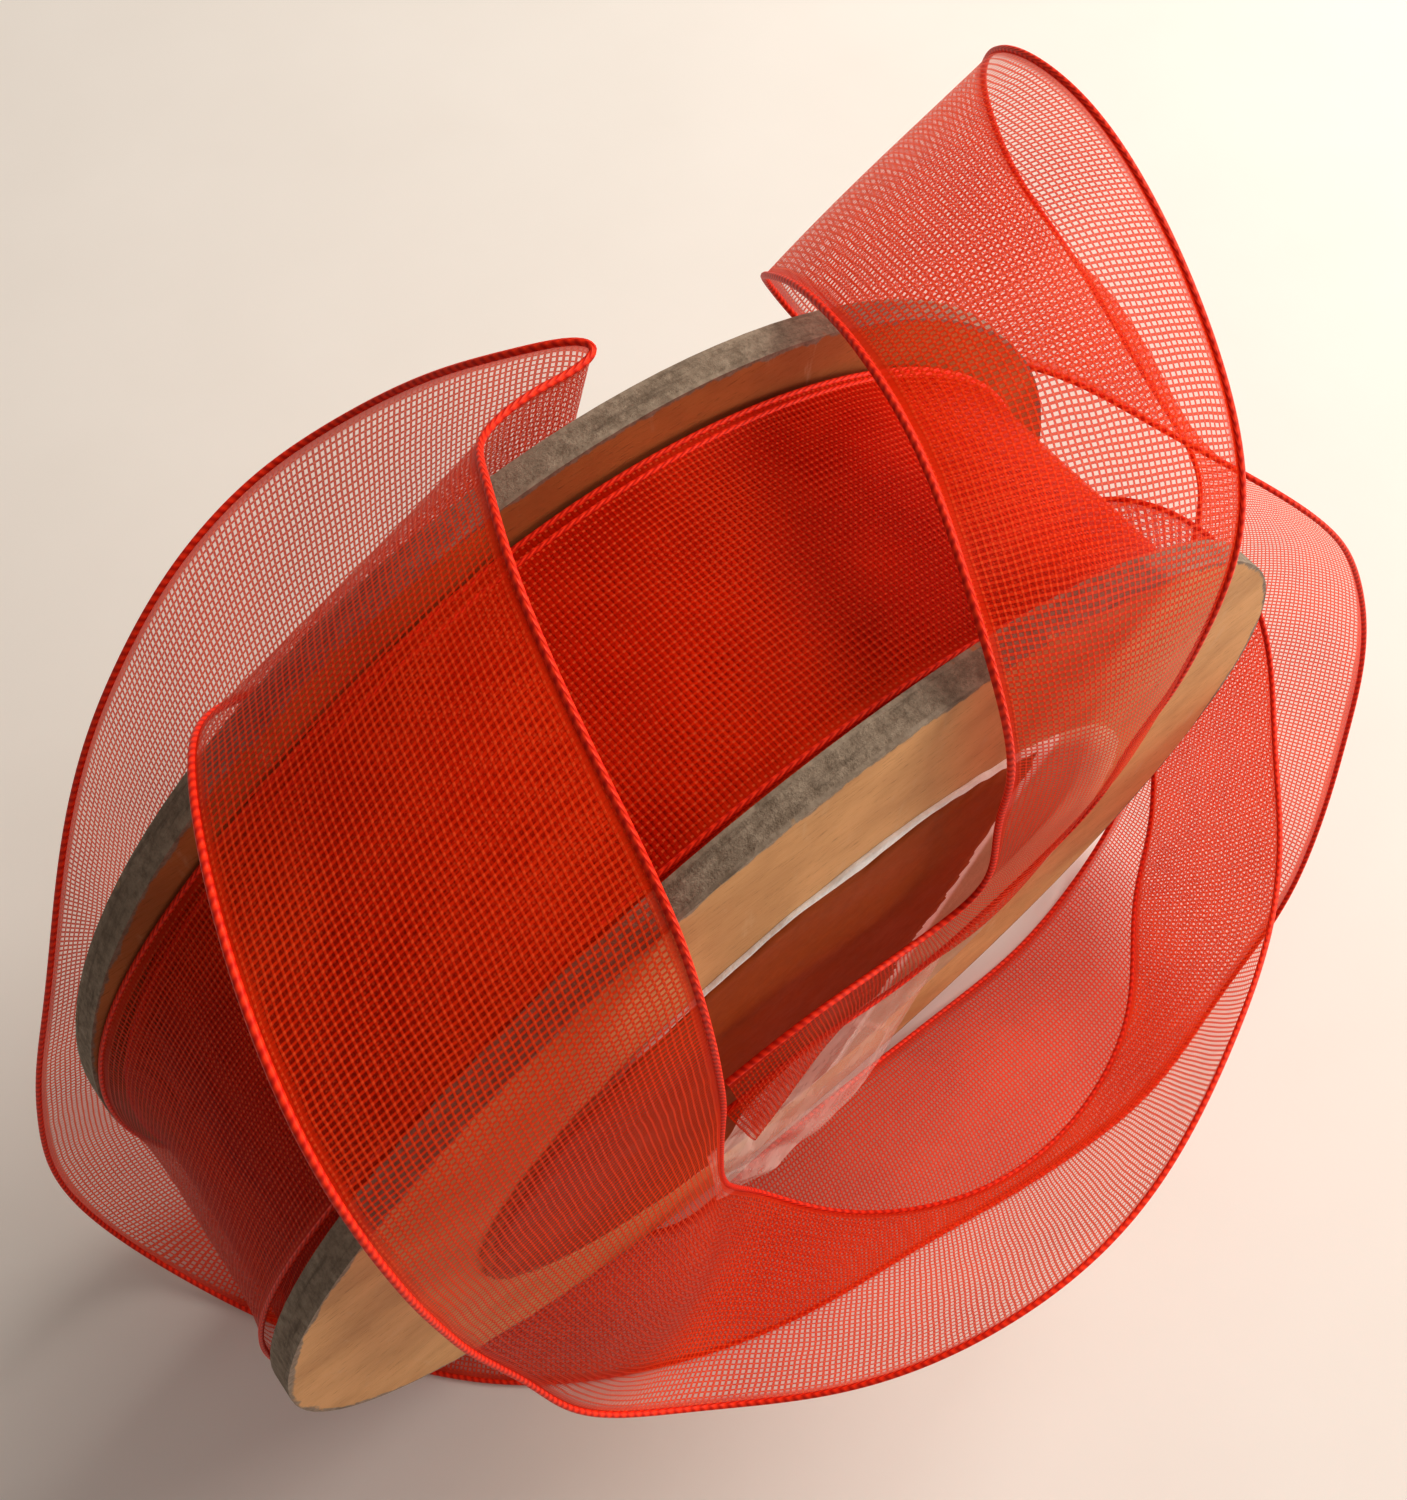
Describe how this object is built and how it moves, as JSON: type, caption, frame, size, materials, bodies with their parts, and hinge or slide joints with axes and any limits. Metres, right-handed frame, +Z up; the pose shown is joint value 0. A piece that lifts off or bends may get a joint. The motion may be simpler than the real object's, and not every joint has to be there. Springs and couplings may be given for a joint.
{
  "type": "ribbon spool",
  "caption": "Cardboard spool with two round flanges and a core tube, wound with sheer ribbon, its free ribbon looped over, under and around the flanges.",
  "frame": {"origin": "on the spool axis, half way between the flanges", "axes": "+Y along the spool axis towards the open side of the hub bore, +Z up, so the spool stands on its flange rims at z = -0.033"},
  "size_m": [0.0862, 0.0518, 0.0712],
  "materials": {
    "loose_ribbon": "sheer red organza",
    "wound_ribbon": "sheer red organza, many layers deep",
    "kraft_liner": "brown kraft paper, matte",
    "chipboard": "grey chipboard",
    "tube_board": "spiral-wound brown board",
    "glue": "dried white glue",
    "clear_tape": "clear film, glossy",
    "label_paper": "white paper, torn edge",
    "label_print": "dark reddish-brown print, satin"
  },
  "bodies": {
    "root": {"clear_tape_tab": "clear_tape", "core_start_tape": "clear_tape", "core_tube_inner_ply": "tube_board", "core_tube_outer_ply": "tube_board", "far_flange_board": "chipboard", "far_flange_inner_liner": "kraft_liner", "far_flange_outer_liner": "kraft_liner", "far_glue_bead": "glue", "label_paper": "label_paper", "label_print": "label_print", "loose_face_strip": "loose_ribbon", "loose_floor_bend": "loose_ribbon", "loose_floor_sweep": "loose_ribbon", "loose_front_fold": "loose_ribbon", "loose_front_strip": "loose_ribbon", "loose_front_sweep": "loose_ribbon", "loose_left_curl": "loose_ribbon", "loose_left_loop": "loose_ribbon", "loose_loop_return": "loose_ribbon", "loose_over_strip": "loose_ribbon", "loose_payoff": "loose_ribbon", "loose_right_loop": "loose_ribbon", "loose_right_turn": "loose_ribbon", "loose_right_twist": "loose_ribbon", "loose_tail": "loose_ribbon", "loose_tip_loop": "loose_ribbon", "loose_top_fold": "loose_ribbon", "loose_top_loop_back": "loose_ribbon", "loose_top_loop_front": "loose_ribbon", "loose_under_spool": "loose_ribbon", "near_flange_board": "chipboard", "near_flange_inner_liner": "kraft_liner", "near_flange_outer_liner": "kraft_liner", "near_glue_bead": "glue", "wound_ribbon": "wound_ribbon"}
  },
  "joints": []
}
